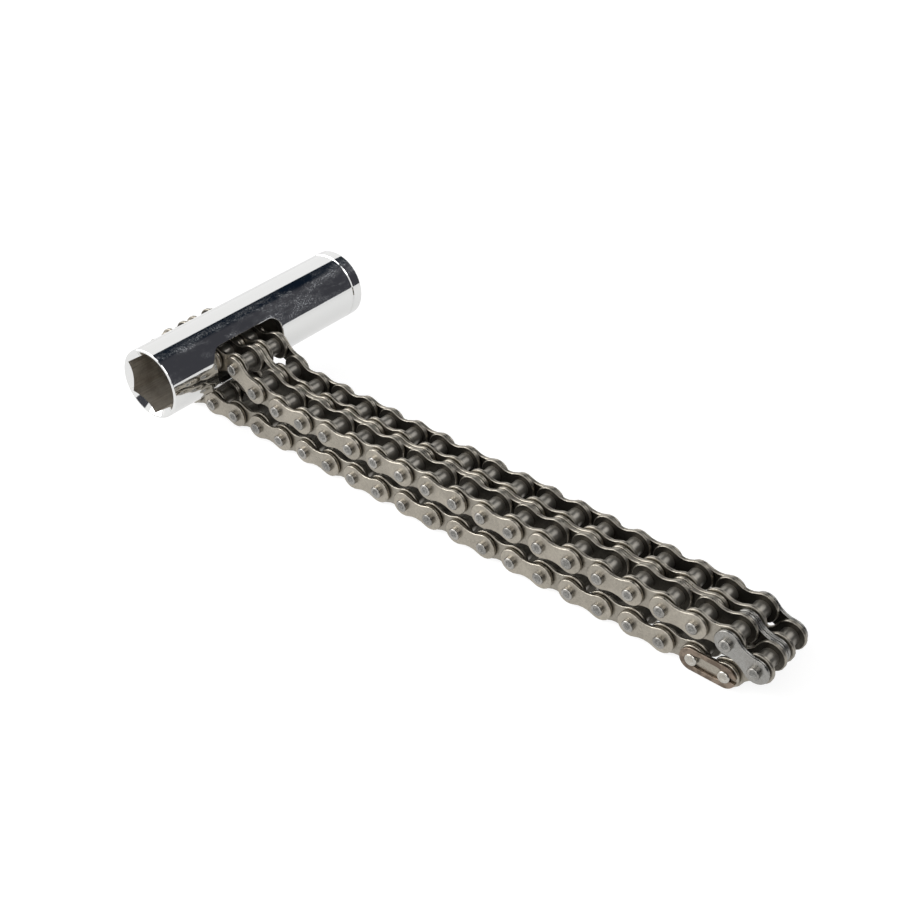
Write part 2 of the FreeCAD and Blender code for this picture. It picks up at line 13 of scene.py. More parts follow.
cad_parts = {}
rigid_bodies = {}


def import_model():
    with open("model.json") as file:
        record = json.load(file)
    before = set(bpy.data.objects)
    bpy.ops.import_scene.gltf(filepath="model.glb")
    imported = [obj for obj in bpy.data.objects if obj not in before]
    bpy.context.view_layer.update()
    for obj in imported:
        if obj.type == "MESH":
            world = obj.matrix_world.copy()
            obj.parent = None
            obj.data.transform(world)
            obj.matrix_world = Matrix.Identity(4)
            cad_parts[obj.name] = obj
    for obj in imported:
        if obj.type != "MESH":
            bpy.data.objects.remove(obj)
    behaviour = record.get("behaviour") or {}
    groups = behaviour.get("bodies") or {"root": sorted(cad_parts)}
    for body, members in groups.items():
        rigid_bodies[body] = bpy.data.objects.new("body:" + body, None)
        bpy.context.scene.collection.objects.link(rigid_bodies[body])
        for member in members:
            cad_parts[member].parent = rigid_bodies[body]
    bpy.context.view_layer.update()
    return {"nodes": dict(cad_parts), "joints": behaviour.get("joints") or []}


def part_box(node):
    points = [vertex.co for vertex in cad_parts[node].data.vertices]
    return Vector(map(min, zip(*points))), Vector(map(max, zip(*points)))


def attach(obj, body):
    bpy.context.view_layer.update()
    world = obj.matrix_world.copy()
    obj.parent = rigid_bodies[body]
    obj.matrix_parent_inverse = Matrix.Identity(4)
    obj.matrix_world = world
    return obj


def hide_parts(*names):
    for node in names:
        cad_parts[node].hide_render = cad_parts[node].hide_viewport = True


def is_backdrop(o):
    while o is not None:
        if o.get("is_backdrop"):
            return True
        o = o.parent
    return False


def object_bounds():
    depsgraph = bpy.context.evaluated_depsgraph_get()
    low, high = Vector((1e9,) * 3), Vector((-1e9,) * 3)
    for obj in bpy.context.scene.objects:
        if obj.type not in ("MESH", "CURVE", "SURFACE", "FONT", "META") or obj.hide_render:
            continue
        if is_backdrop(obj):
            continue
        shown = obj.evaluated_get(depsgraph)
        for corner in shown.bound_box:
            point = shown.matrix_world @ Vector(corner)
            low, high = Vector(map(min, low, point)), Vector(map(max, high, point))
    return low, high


bl_info = {
    "name": "Chain filter socket",
    "version": (1, 0, 0),
    "blender": (4, 5, 0),
    "location": "View3D > Sidebar > Filter socket",
    "description": "Builds the socket, its chain and the studio around the packed model",
    "category": "Object",
}

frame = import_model()


# Where each link lies, read from the frame


def middle_of(node):
    """Middle of a node's box."""
    low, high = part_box(node)
    return (low + high) / 2


def pivots_of(link):
    """The pins of a link that are joints of the model, by the other link's name."""
    found = {}
    for joint in frame["joints"]:
        pair = (joint["parent"], joint["child"])
        if link in pair and "socket_body" not in pair:
            other = pair[0] if pair[1] == link else pair[1]
            found[other] = Vector(joint["pos_m"])
    return found


def link_matrix(link, towards=None):
    """Puts a link drawn along X, its middle at the origin, where the model has it."""
    pivots = pivots_of(link)
    pin = pivots[towards] if towards else next(iter(pivots.values()))
    middle = middle_of(link)
    middle.y = pin.y
    along = (pin - middle).normalized()
    across = Vector((0, 1, 0))
    up = along.cross(across)
    turn = Matrix((along, across, up)).transposed().to_4x4()
    return Matrix.Translation(middle) @ turn


def link_pitch():
    """Distance between the two pins of one link."""
    first, second = pivots_of("inner_link_12").values()
    return (first - second).length


# Sizes and colours


def maker(kind, **given):
    """A function that makes one kind of property from its name, default and description."""

    def made(name, default, text):
        return kind(name=name, default=default, description=text, **given)

    return made


length = maker(FloatProperty, unit="LENGTH", subtype="DISTANCE", precision=5)
angle = maker(FloatProperty, unit="ROTATION", subtype="ANGLE")
amount = maker(FloatProperty, min=0)
share = maker(FloatProperty, min=0, max=1, subtype="FACTOR")
colour = maker(FloatVectorProperty, size=3, min=0, max=1, subtype="COLOR")
point = maker(FloatVectorProperty, size=3, precision=5, unit="LENGTH", subtype="TRANSLATION")


class ChainSizes(bpy.types.PropertyGroup):
    """Sizes of the two-strand chain."""

    strand_spacing: length("Strand spacing", 0.01013, "Between the middles of the strands")
    inner_width: length("Inner width", 0.00477, "Between the two plates of an inner link")
    plate_thickness: length("Plate thickness", 0.00125, "Thickness of every plate")
    plate_gap: length("Plate gap", 0.00012, "Between an inner plate and its outer plate")
    inner_height: length("Inner plate height", 0.0087, "Across its round end")
    inner_waist: length("Inner plate waist", 0.0061, "Across its middle")
    outer_height: length("Outer plate height", 0.0075, "Across its round end")
    outer_waist: length("Outer plate waist", 0.0053, "Across its middle")
    edge_round: length("Plate edge", 0.00030, "Rolled edge of a stamped plate")
    bush_diameter: length("Bush diameter", 0.00508, "Outside of a bush")
    pin_diameter: length("Pin diameter", 0.00358, "Outside of a pin")
    pin_overhang: length("Pin overhang", 0.00118, "From its plate to its end")
    pin_chamfer: length("Pin chamfer", 0.00028, "Broken edge of a pin's end")
    pin_dish: length("Pin dish", 0.00014, "Depth of the riveting mark")
    groove_depth: length("Groove depth", 0.00038, "Depth of the clip's groove in a pin")
    clip_thickness: length("Clip thickness", 0.00075, "Thickness of the spring clip")
    clip_round: length("Clip edge", 0.00021, "Rounded edge of the spring clip")
    clip_width: length("Clip width", 0.0069, "Across the spring clip")
    clip_mouth: length("Clip mouth", 0.0013, "Opening at the clip's end")
    clip_belly: length("Clip belly", 0.00045, "Widening of the opening between the pins")
    clip_clearance: length("Clip clearance", 0.00003, "Between the clip and what it touches")


class SocketSizes(bpy.types.PropertyGroup):
    """Sizes of the socket body."""

    rim_round: length("Rim", 0.0004, "Rounded edge at both ends")
    mouth_wall: length("Mouth wall", 0.00035, "Flat ring at the mouth")
    lead_angle: angle("Lead angle", math.radians(55), "Cone at the mouth, from the axis")
    hexagon_wall: length("Hexagon wall", 0.0025, "Thinnest wall round the hexagon")
    hexagon_depth: length("Hexagon depth", 0.014, "How deep the hexagon goes")
    bore_wall: length("Bore wall", 0.0022, "Wall between the windows and the ends")
    square_width: length("Square width", 0.0127, "Across the drive hole")
    square_depth: length("Square depth", 0.016, "How deep the drive hole goes")
    square_corner: length("Square corner", 0.0008, "Corner radius of the drive hole")
    square_lead: length("Square lead", 0.0007, "Cone round the drive hole")
    band_length: length("Band", 0.0036, "Length of the band at the drive end")
    groove_width: length("Groove width", 0.0009, "Beside the band")
    groove_depth: length("Groove depth", 0.0003, "Beside the band")
    window_place: length("Window place", 0.0312, "From the mouth to its middle")
    window_length: length("Window length", 0.0275, "Length of the window")
    window_height: length("Window height", 0.012, "Height of the window")
    window_corner: length("Window corner", 0.0035, "Corner radius of the window")
    window_rim: length("Window rim", 0.00045, "Rounded edge of the window")
    window_turn: angle("Window turn", math.radians(6.7), "Turned up from level")


class Finishes(bpy.types.PropertyGroup):
    """Colours and gloss of the metals."""

    chrome: colour("Chrome", (0.80, 0.80, 0.79), "Polished chrome plate")
    chrome_haze: colour("Chrome haze", (0.91, 0.95, 1.0), "Bluish smears on the chrome")
    bare_wall: colour("Bare recess", (0.58, 0.54, 0.47), "Unplated steel inside the recess")
    bare_dark: colour("Bare recess, dark", (0.26, 0.22, 0.18), "Streaks inside the recess")
    plate: colour("Plate steel", (0.455, 0.418, 0.355), "Oiled plate steel")
    plate_dark: colour("Plate steel, dark", (0.19, 0.175, 0.15), "Oil shade on the plates")
    # Painted shade: the inner plates are coloured darker than the outer plates, standing in for the
    # shadow the outer plates cast on them
    inner_plate_shaded: colour("Inner plate steel", (0.36, 0.333, 0.285), "Oilier than the outer plates")
    cool_plate: colour("Cool plate steel", (0.36, 0.355, 0.34), "The one bluish link")
    # Painted shade: plate sides that face the bushes are coloured near black, for the shade in the
    # gaps between the plates
    plate_inside_shade: colour("Plate inside", (0.10, 0.092, 0.078), "Oily sides that face the bushes")
    bush: colour("Bush steel", (0.31, 0.292, 0.26), "Bushes between the plates")
    bush_dark: colour("Bush steel, dark", (0.17, 0.16, 0.14), "Oil shade on the bushes")
    bore: colour("Bore", (0.10, 0.092, 0.08), "Oily bore behind the windows")
    bore_dark: colour("Bore, dark", (0.03, 0.027, 0.023), "Oil shade in the bore")
    pin: colour("Pin steel", (0.40, 0.385, 0.36), "Sides and rims of the riveted pins")
    pin_mark: colour("Pin mark", (0.30, 0.295, 0.28), "Riveting mark in a pin end")
    pin_dark: colour("Pin steel, dark", (0.13, 0.127, 0.12), "Oil shade on the pins")
    bright_pin: colour("Bright pin", (0.50, 0.48, 0.44), "Pins of the connecting link")
    clip: colour("Clip", (0.27, 0.215, 0.17), "Temper brown of the spring clip")
    clip_dark: colour("Clip, dark", (0.15, 0.118, 0.092), "Darker temper colour")


class StudioSettings(bpy.types.PropertyGroup):
    """Camera, lamps and backdrop."""

    camera_place: point("Camera place", (0.21959, -0.29005, 0.275095), "Where the camera stands")
    camera_aim: point("Camera aim", (-0.007374, 0.00314, 0.01), "What the camera looks at")
    camera_lean: angle("Camera lean", math.radians(2.245), "Turn about the line of sight")
    focal_length: amount("Focal length", 63.11, "Millimetres, on a 36 mm sensor")
    floor_size: length("Floor", 6.0, "Side of the square floor")
    sky_light: amount("Sky light", 0.40, "Light from all round")
    side_lamp: amount("Side lamp", 6.0, "Watts of the lamp at the mouth's left")
    top_lamp: amount("Top lamp", 3.2, "Watts of the lamp overhead")
    front_lamp: amount("Front lamp", 3.0, "Watts of the lamp in front")
    chain_lamp: amount("Chain lamp", 2.0, "Watts of the lamp behind, for the chain alone")
    floor_tone: share("Floor tone", 0.30, "Grey that carries the shadow")
    floor_glow: share("Floor glow", 0.84, "Added to the floor for the camera")
    floor_mirrored: share("Floor in metal", 0.66, "Added to the floor in reflections")
    dark_card: colour("Dark card", (0.050, 0.051, 0.060), "Card that the chrome mirrors")
    card_edge: colour("Dark card edge", (0.006, 0.011, 0.020), "Darker left edge of the card")
    card_radius: length("Card radius", 1.1, "From the socket to the card")
    card_start: angle("Card start", math.radians(2), "Lower edge, above the horizon")
    card_end: angle("Card end", math.radians(116.5), "Upper edge, past the zenith")


GROUPS = {
    "chain_sizes": ChainSizes,
    "socket_sizes": SocketSizes,
    "metal_finishes": Finishes,
    "studio_settings": StudioSettings,
}


def settings(group):
    """One group of this scene's sizes."""
    return getattr(bpy.context.scene, group)


# Meshes

# Corners nearer than this, in metres, are one: copies, mirror images, bent halves
TOUCH = 1e-7
NEAR = 1e-6
SEAM = 2e-6

# Angles and radii nearer than this are one, in radians and metres
ANGLE_NEAR = 1e-4
RADIUS_NEAR = 2e-5

# Edges sharper than this are rounded off
ROUNDED_FROM = math.radians(50)


def whole(mesh):
    """Every corner, edge and face."""
    return mesh.verts[:] + mesh.edges[:] + mesh.faces[:]


def only(kind, geometry):
    """The corners, edges or faces among what an operator made."""
    return [item for item in geometry if isinstance(item, kind)]


def marked(faces, slot):
    """Gives faces a material slot."""
    for face in faces:
        face.material_index = slot


def drawn_to(mesh, corner, place):
    """A straight edge from a corner to a place; returns the new corner."""
    made = bmesh.ops.extrude_vert_indiv(mesh, verts=[corner])
    made["verts"][0].co = place
    return made["verts"][0]


def spun(mesh, geometry, centre, axis, turn, steps):
    """Sweeps corners and edges part of the way round an axis; returns the last corners."""
    made = bmesh.ops.spin(
        mesh, geom=geometry, cent=centre, axis=axis, angle=turn, steps=steps, use_duplicate=False
    )
    return only(BMVert, made["geom_last"])


def swung(mesh, corner, centre, turn, steps):
    """An arc in the X-Z plane from a corner; a positive turn goes from Z towards X."""
    axis = (0, math.copysign(1, turn), 0)
    return spun(mesh, [corner], centre, axis, abs(turn), steps)[0]


def mirrored(mesh, axis):
    """Adds the mirror image of everything, joined on the mirror's plane."""
    bmesh.ops.mirror(mesh, geom=whole(mesh), matrix=Matrix(), merge_dist=NEAR, axis=axis)
    bmesh.ops.remove_doubles(mesh, verts=mesh.verts[:], dist=TOUCH)


def thickened(mesh, back, front):
    """Fills the outline in the X-Z plane and gives it two sides, at back and front along Y."""
    bmesh.ops.contextual_create(mesh, geom=mesh.edges[:])
    made = bmesh.ops.extrude_face_region(mesh, geom=mesh.faces[:])
    moved = only(BMVert, made["geom"])
    bmesh.ops.translate(mesh, verts=mesh.verts[:], vec=(0, back, 0))
    bmesh.ops.translate(mesh, verts=moved, vec=(0, front - back, 0))
    bmesh.ops.recalc_face_normals(mesh, faces=mesh.faces[:])


def edges_broken(mesh, offset, steps=1):
    """Rounds the sharp edges."""
    sharp = [edge for edge in mesh.edges if edge.calc_face_angle(0) > ROUNDED_FROM]
    bmesh.ops.bevel(
        mesh, geom=sharp, offset=offset, affect="EDGES", segments=steps, profile=0.5, material=-1
    )


def lathed(mesh, outline, segments):
    """Turns an outline of (radius, place along Y) about the Y axis; its ends lie on the axis."""
    corner = mesh.verts.new((*outline[0], 0))
    for place in outline[1:]:
        corner = drawn_to(mesh, corner, (*place, 0))
    bmesh.ops.spin(
        mesh,
        geom=whole(mesh),
        cent=(0, 0, 0),
        axis=(0, 1, 0),
        angle=math.tau,
        steps=segments,
        use_merge=True,
        use_duplicate=False,
    )
    bmesh.ops.remove_doubles(mesh, verts=mesh.verts[:], dist=TOUCH)
    bmesh.ops.recalc_face_normals(mesh, faces=mesh.faces[:])


def as_data(mesh, name):
    """Turns a bmesh into mesh data."""
    data = bpy.data.meshes.new(name)
    mesh.to_mesh(data)
    mesh.free()
    return data


def kept(mesh, name, sharp=58):
    """Mesh data of a closed shape with smooth faces, its edges sharp from an angle in degrees."""
    if any(edge.is_boundary for edge in mesh.edges):
        raise RuntimeError(f"{name} is not closed")
    for face in mesh.faces:
        face.smooth = True
    for edge in mesh.edges:
        edge.smooth = edge.calc_face_angle(0) < math.radians(sharp)
    return as_data(mesh, name)


def inside_in_painted_shade(face, place):
    """Whether a flat side of a plate at a place along Y looks at its own strand's bushes, and so takes
    the painted shade of the gaps between the plates.
    """
    strand = settings("chain_sizes").strand_spacing / 2
    inward_side = math.copysign(strand, place) - place
    return abs(face.normal.y) > 0.9 and face.normal.y * inward_side > 0


def joined(parts, name):
    """One mesh out of several, each with a place and the first of its material slots."""
    mesh = bmesh.new()
    for data, place, slot in parts:
        first = len(mesh.verts)
        mesh.from_mesh(data)
        mesh.verts.ensure_lookup_table()
        new = mesh.verts[first:]
        bmesh.ops.translate(mesh, verts=new, vec=place)
        for face in {face for corner in new for face in corner.link_faces}:
            face.material_index += slot
            # Plate sides that face the bushes take slot 1, a painted shade for the gaps between the
            # plates
            if slot == 0 and inside_in_painted_shade(face, place[1]):
                face.material_index = 1
    return as_data(mesh, name)


def added(name, data):
    """A new object in the scene."""
    item = bpy.data.objects.new(name, data)
    bpy.context.scene.collection.objects.link(item)
    return item


def placed(data, name, metals, matrix, body, slot, *nodes):
    """A finished piece: its mesh moved into place, riding on its body in its node's stead."""
    data = data.copy()
    data.name = name
    data.transform(matrix)
    for metal in metals:
        data.materials.append(metal_named(metal))
    piece = added(name, data)
    even = piece.modifiers.new("even_normals", "WEIGHTED_NORMAL")
    even.keep_sharp = True
    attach(piece, body)
    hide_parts(*nodes)
    return piece


# Shapes of the chain's pieces, drawn along X with the link's middle at the origin

# Steps of each arc or turn
WAIST_STEPS = 2
END_STEPS = 7
BUSH_STEPS = 24
PIN_STEPS = 20
CLIP_STEPS = 8
CLIP_LIP_STEPS = 6

# Floor and edge of the riveting mark, as shares of the pin's radius
MARK_FLOOR = 0.58
MARK_EDGE = 0.70


def plate_shape(sizes, outer):
    """A waisted plate: a hollow arc and a round end, mirrored twice."""
    height = sizes.outer_height if outer else sizes.inner_height
    waist = sizes.outer_waist if outer else sizes.inner_waist
    half = link_pitch() / 2
    radius = height / 2
    hollow = (half**2 + waist**2 / 4 - radius**2) / (height - waist)
    centre = Vector((0, 0, waist / 2 + hollow))
    lean = math.atan2(half, centre.z)
    mesh = bmesh.new()
    start = mesh.verts.new((0, 0, waist / 2))
    edge = swung(mesh, start, centre, -lean, WAIST_STEPS)
    swung(mesh, edge, (half, 0, 0), math.pi / 2 + lean, END_STEPS)
    mirrored(mesh, "Z")
    mirrored(mesh, "X")
    thickened(mesh, -sizes.plate_thickness / 2, sizes.plate_thickness / 2)
    edges_broken(mesh, sizes.edge_round)
    return kept(mesh, "plate_shape")


def bush_shape(sizes):
    """A bush, its ends let into the plates."""
    reach = sizes.inner_width / 2 + sizes.plate_thickness / 2
    radius = sizes.bush_diameter / 2
    mesh = bmesh.new()
    lathed(mesh, [(0, -reach), (radius, -reach), (radius, reach), (0, reach)], BUSH_STEPS)
    return kept(mesh, "bush_shape")


def pin_end(sizes, radius, tip):
    """Outline of a dished and chamfered pin end, from the axis to the shank, towards +Y."""
    return [
        (0, tip - sizes.pin_dish),
        (radius * MARK_FLOOR, tip - sizes.pin_dish),
        (radius * MARK_EDGE, tip),
        (radius - sizes.pin_chamfer, tip),
        (radius, tip - sizes.pin_chamfer),
    ]


def pin_shape(sizes, grooved):
    """A pin through both strands; a grooved one holds the clip at its front end."""
    radius = sizes.pin_diameter / 2
    wall_end = outer_face(sizes)
    tip = wall_end + sizes.pin_overhang
    back = pin_end(sizes, radius, tip)
    front = [(across, -place) for across, place in reversed(back)]
    neck = []
    if grooved:
        wall = radius - sizes.groove_depth
        start = -wall_end - sizes.clip_thickness - 2 * sizes.clip_clearance
        neck = [(radius, -wall_end), (wall, -wall_end), (wall, start), (radius, start)]
    mesh = bmesh.new()
    lathed(mesh, back + neck + front, PIN_STEPS)
    for face in mesh.faces:
        middle = face.calc_center_median()
        dished = math.hypot(middle.x, middle.z) < radius * MARK_FLOOR and abs(middle.y) > wall_end
        face.material_index = int(dished)
    return kept(mesh, "pin_shape")


def outer_face(sizes):
    """From the chain's middle to the outside of its front plate."""
    strand = sizes.strand_spacing / 2 + sizes.inner_width / 2
    return strand + 2 * sizes.plate_thickness + sizes.plate_gap


def clip_shape(sizes):
    """A spring clip with its mouth towards +X, drawn as one half and mirrored."""
    half = link_pitch() / 2
    outside = sizes.clip_width / 2
    inside = sizes.pin_diameter / 2 - sizes.groove_depth + sizes.clip_clearance
    lip = sizes.clip_mouth / 2
    outer_turn = math.pi / 2 - math.asin(lip / outside)
    inner_turn = math.pi / 2 - math.asin(lip / inside)
    mesh = bmesh.new()
    start = mesh.verts.new((-half - outside, 0, 0))
    corner = swung(mesh, start, (-half, 0, 0), math.pi / 2, CLIP_STEPS)
    corner = drawn_to(mesh, corner, (half, 0, outside))
    corner = swung(mesh, corner, (half, 0, 0), outer_turn, CLIP_STEPS)
    corner = drawn_to(mesh, corner, (half + inside * math.sin(inner_turn), 0, lip))
    corner = swung(mesh, corner, (half, 0, 0), -inner_turn, CLIP_LIP_STEPS)
    belly = inside + sizes.clip_belly
    for place in ((half / 2, 0, belly), (-half / 2, 0, belly), (-half, 0, inside)):
        corner = drawn_to(mesh, corner, place)
    swung(mesh, corner, (-half, 0, 0), -math.pi / 2, CLIP_STEPS)
    mirrored(mesh, "Z")
    face = outer_face(sizes) + sizes.clip_clearance
    thickened(mesh, -face, -face - sizes.clip_thickness)
    edges_broken(mesh, sizes.clip_round, 2)
    return kept(mesh, "clip_shape")


def plate_places(sizes, outer):
    """Y of the middle of each plate, front to back."""
    out = sizes.inner_width / 2 + sizes.plate_thickness / 2
    if outer:
        out += sizes.plate_thickness + sizes.plate_gap
    strand = sizes.strand_spacing / 2
    return [-strand - out, -strand + out, strand - out, strand + out]


def link_shape(name, places, plate, turned, turned_places):
    """Plates in slots 0 and 1 (the sides that face the bushes, in painted shade), and turned pieces
    from slot 2, at both pins.
    """
    half = link_pitch() / 2
    parts = [(plate, (0, place, 0), 0) for place in places]
    for side in (-half, half):
        parts += [(turned, (side, place, 0), 2) for place in turned_places]
    return joined(parts, name)


# The socket body, drawn along Y with its mouth at -Y and its windows facing X

# Steps all round the outside and the bore, and those up one side of their flat sheets
RING_STEPS = 144
RING_SHEET_STEPS = 20
WALL_STEPS = 64
WALL_SHEET_STEPS = 10
WALL_STEPS_BESIDE_WINDOW = 8

# Steps of a rounded end, of the window's rim and of its corners
END_ROWS = 3
RIM_ROWS = 4
CORNER_STEPS = 10

# Slots of the socket body's metals
PLATED, BARE, OILY = range(3)


def end_rows(radius, rim):
    """Rows of a rounded end: (how far from the end, radius)."""
    turns = [math.pi / 2 * n / END_ROWS for n in range(END_ROWS + 1)]
    return [(rim * (1 - math.sin(turn)), radius - rim * (1 - math.cos(turn))) for turn in turns]


def skin_rows(sizes, radius, low, high):
    """Rows of the outside from the mouth to the drive end: (place along Y, radius)."""
    rim = end_rows(radius, sizes.rim_round)
    floor = radius - sizes.groove_depth
    steep = sizes.groove_depth * 0.4
    flat = sizes.groove_depth * 0.8
    band = high - sizes.band_length
    groove = band - sizes.groove_width
    rows = [(low + far, wide) for far, wide in reversed(rim)]
    rows += [(groove, radius), (groove + steep, floor), (band - flat, floor), (band, radius)]
    rows += [(high - far, wide) for far, wide in rim]
    return rows


def row_radius(rows, place):
    """Radius of the outside at a place along Y, straight between two rows."""
    for (start, first), (stop, last) in zip(rows, rows[1:]):
        if place <= stop + 1e-9:
            share = (place - start) / (stop - start) if stop > start else 1
            return first + (last - first) * min(max(share, 0), 1)
    return rows[-1][1]


def window_outline(mesh, sizes, middle, grow):
    """A rounded rectangle in the Y-Z plane, larger than the window by grow on each side."""
    long = sizes.window_length / 2 + grow
    tall = sizes.window_height / 2 + grow
    corner = sizes.window_corner + grow
    start = mesh.verts.new((0, long, 0))
    last = drawn_to(mesh, start, (0, long, tall - corner))
    centre = (0, long - corner, tall - corner)
    last = spun(mesh, [last], centre, (1, 0, 0), math.pi / 2, CORNER_STEPS)[0]
    drawn_to(mesh, last, (0, 0, tall))
    mirrored(mesh, "Y")
    mirrored(mesh, "Z")
    bmesh.ops.translate(mesh, verts=mesh.verts[:], vec=(0, middle, 0))


def sheet_with_window(sizes, middle, low, high, tall, grow):
    """A flat sheet in the Y-Z plane with the window left out; returns it and the window's edges."""
    mesh = bmesh.new()
    window_outline(mesh, sizes, middle, grow)
    hole = mesh.edges[:]
    corner = mesh.verts.new((0, low, -tall))
    first = corner
    for place in [(0, high, -tall), (0, high, tall), (0, low, tall)]:
        corner = drawn_to(mesh, corner, place)
    mesh.edges.new((corner, first))
    bmesh.ops.triangle_fill(mesh, use_beauty=True, edges=mesh.edges[:])
    return mesh, hole


def cut_across(mesh, places, axis):
    """Cuts everything at places along one axis, so that it can be bent."""
    for place in places:
        normal = Vector((0, 0, 0))
        normal[axis] = 1
        spot = normal * place
        bmesh.ops.bisect_plane(mesh, geom=whole(mesh), dist=TOUCH, plane_co=spot, plane_no=normal)


def inward(sizes, middle, corner):
    """Unit step from a corner of the window's edge towards the opening, in the Y-Z plane."""
    long = sizes.window_length / 2 - sizes.window_corner
    tall = sizes.window_height / 2 - sizes.window_corner
    place = Vector((0, corner.co.y - middle, corner.co.z))
    core = Vector((0, min(max(place.y, -long), long), min(max(place.z, -tall), tall)))
    return (core - place).normalized()


def outside_half(sizes, radius, rows, middle):
    """The +X half of the outside with its window, rim and window wall."""
    step = math.tau / RING_STEPS
    last = RING_SHEET_STEPS
    tall = radius * math.sin(step * last)
    mesh, edges = sheet_with_window(sizes, middle, rows[0][0], rows[-1][0], tall, sizes.window_rim)
    for n in range(RIM_ROWS):
        before = math.pi / 2 * n / RIM_ROWS
        turn = math.pi / 2 * (n + 1) / RIM_ROWS
        aside = sizes.window_rim * (math.sin(turn) - math.sin(before))
        down = sizes.window_rim * (math.cos(before) - math.cos(turn))
        made = bmesh.ops.extrude_edge_only(mesh, edges=edges)
        for corner in only(BMVert, made["geom"]):
            corner.co += inward(sizes, middle, corner) * aside - Vector((down, 0, 0))
        edges = only(BMEdge, made["geom"])
    made = bmesh.ops.extrude_edge_only(mesh, edges=edges)
    for corner in only(BMVert, made["geom"]):
        corner.co.x = -sizes.bore_wall
    marked(only(BMFace, made["geom"]), OILY)
    cut_across(mesh, [radius * math.sin(step * n) for n in range(1 - last, last)], 2)
    cut_across(mesh, [place for place, wide in rows[1:-1]], 1)
    for corner in mesh.verts:
        depth = -corner.co.x
        if depth > TOUCH:
            corner.co.x = math.sqrt((radius - depth) ** 2 - corner.co.z**2)
        else:
            wide = row_radius(rows, corner.co.y)
            lean = math.asin(corner.co.z / radius)
            corner.co.x = wide * math.cos(lean)
            corner.co.z = wide * math.sin(lean)
    closed_over(mesh, math.pi / 2 - step * last, RING_STEPS // 4 - last)
    return mesh


def closed_over(mesh, turn, steps):
    """Spins the upper and lower edges of a side on round the axis, as far as the middle plane."""
    start = math.pi / 2 - turn
    for side in (1, -1):

        def at_start(corner):
            return abs(math.atan2(corner.co.z, corner.co.x) * side - start) < ANGLE_NEAR

        rim = [edge for edge in mesh.edges if edge.is_boundary and all(map(at_start, edge.verts))]
        if not rim:
            raise RuntimeError("the side has no long edge to go on from")
        corners = dict.fromkeys(corner for edge in rim for corner in edge.verts)
        spun(mesh, rim + list(corners), (0, 0, 0), (0, -side, 0), turn, steps)


def bore_half(sizes, radius, wall_radius, middle, low, high):
    """The +X half of the bore with its window; its window meets the window wall corner to corner."""
    ring = math.tau / RING_STEPS
    step = math.tau / WALL_STEPS
    last = WALL_SHEET_STEPS
    lines = [wall_radius * math.sin(ring * n) for n in range(RING_SHEET_STEPS)]
    lines = [line for line in lines if line < sizes.window_height / 2 - NEAR]
    lines += [radius * math.sin(step * n) for n in range(WALL_STEPS_BESIDE_WINDOW, last)]
    tall = radius * math.sin(step * last)
    mesh, _ = sheet_with_window(sizes, middle, low, high, tall, 0)
    cut_across(mesh, sorted({side * line for line in lines for side in (1, -1)}), 2)
    for corner in mesh.verts:
        corner.co.x = math.sqrt(radius**2 - corner.co.z**2)
    closed_over(mesh, math.pi / 2 - step * last, WALL_STEPS // 4 - last)
    marked(mesh.faces, OILY)
    return mesh


def next_ring(mesh, ring, place, slot):
    """Extrudes a ring of edges to where place(angle) says, as (radius, place along Y)."""
    made = bmesh.ops.extrude_edge_only(mesh, edges=ring)
    for corner in only(BMVert, made["geom"]):
        lean = math.atan2(corner.co.z, corner.co.x)
        wide, along = place(lean)
        corner.co = (wide * math.cos(lean), along, wide * math.sin(lean))
    marked(only(BMFace, made["geom"]), slot)
    return only(BMEdge, made["geom"])


def ring_at(mesh, place, radius):
    """The open ring of edges at a place along Y with a radius."""

    def on_ring(corner):
        off = math.hypot(corner.co.x, corner.co.z) - radius
        return abs(corner.co.y - place) < NEAR and abs(off) < RADIUS_NEAR

    found = [edge for edge in mesh.edges if edge.is_boundary and all(map(on_ring, edge.verts))]
    if not found:
        raise RuntimeError(f"no open ring at {place:.4f}, radius {radius:.4f}")
    return found


def recessed(mesh, rim, bore, reach, lead, slope, face, floor):
    """Closes one end: a flat ring, a cone and a recess from face to floor, which meets the bore."""
    ring = ring_at(mesh, face, rim)
    ring = next_ring(mesh, ring, lambda a: (max(lead, reach(a)), face), PLATED)
    ring = next_ring(mesh, ring, lambda a: (reach(a), face + max(0, lead - reach(a)) / slope), PLATED)
    ring = next_ring(mesh, ring, lambda a: (reach(a), floor), BARE)
    made = bmesh.ops.bridge_loops(mesh, edges=ring + ring_at(mesh, floor, bore))
    marked(made["faces"], OILY)


def hexagon_reach(flats, lean):
    """From the axis to the hexagon's wall in one direction; its corners are 30 degrees from X."""
    sector = math.pi / 3
    off = (lean + sector / 2) % sector - sector / 2
    return flats / 2 / math.cos(off)


def square_reach(width, corner, lean):
    """From the axis to the rounded square's wall in one direction."""
    off = abs((lean + math.pi / 4) % (math.pi / 2) - math.pi / 4)
    half = width / 2
    flat = half / math.cos(off)
    core = half - corner
    if flat * math.sin(off) <= core:
        return flat
    near = core * (math.cos(off) + math.sin(off))
    return near + math.sqrt(max(near**2 - 2 * core**2 + corner**2, 0))


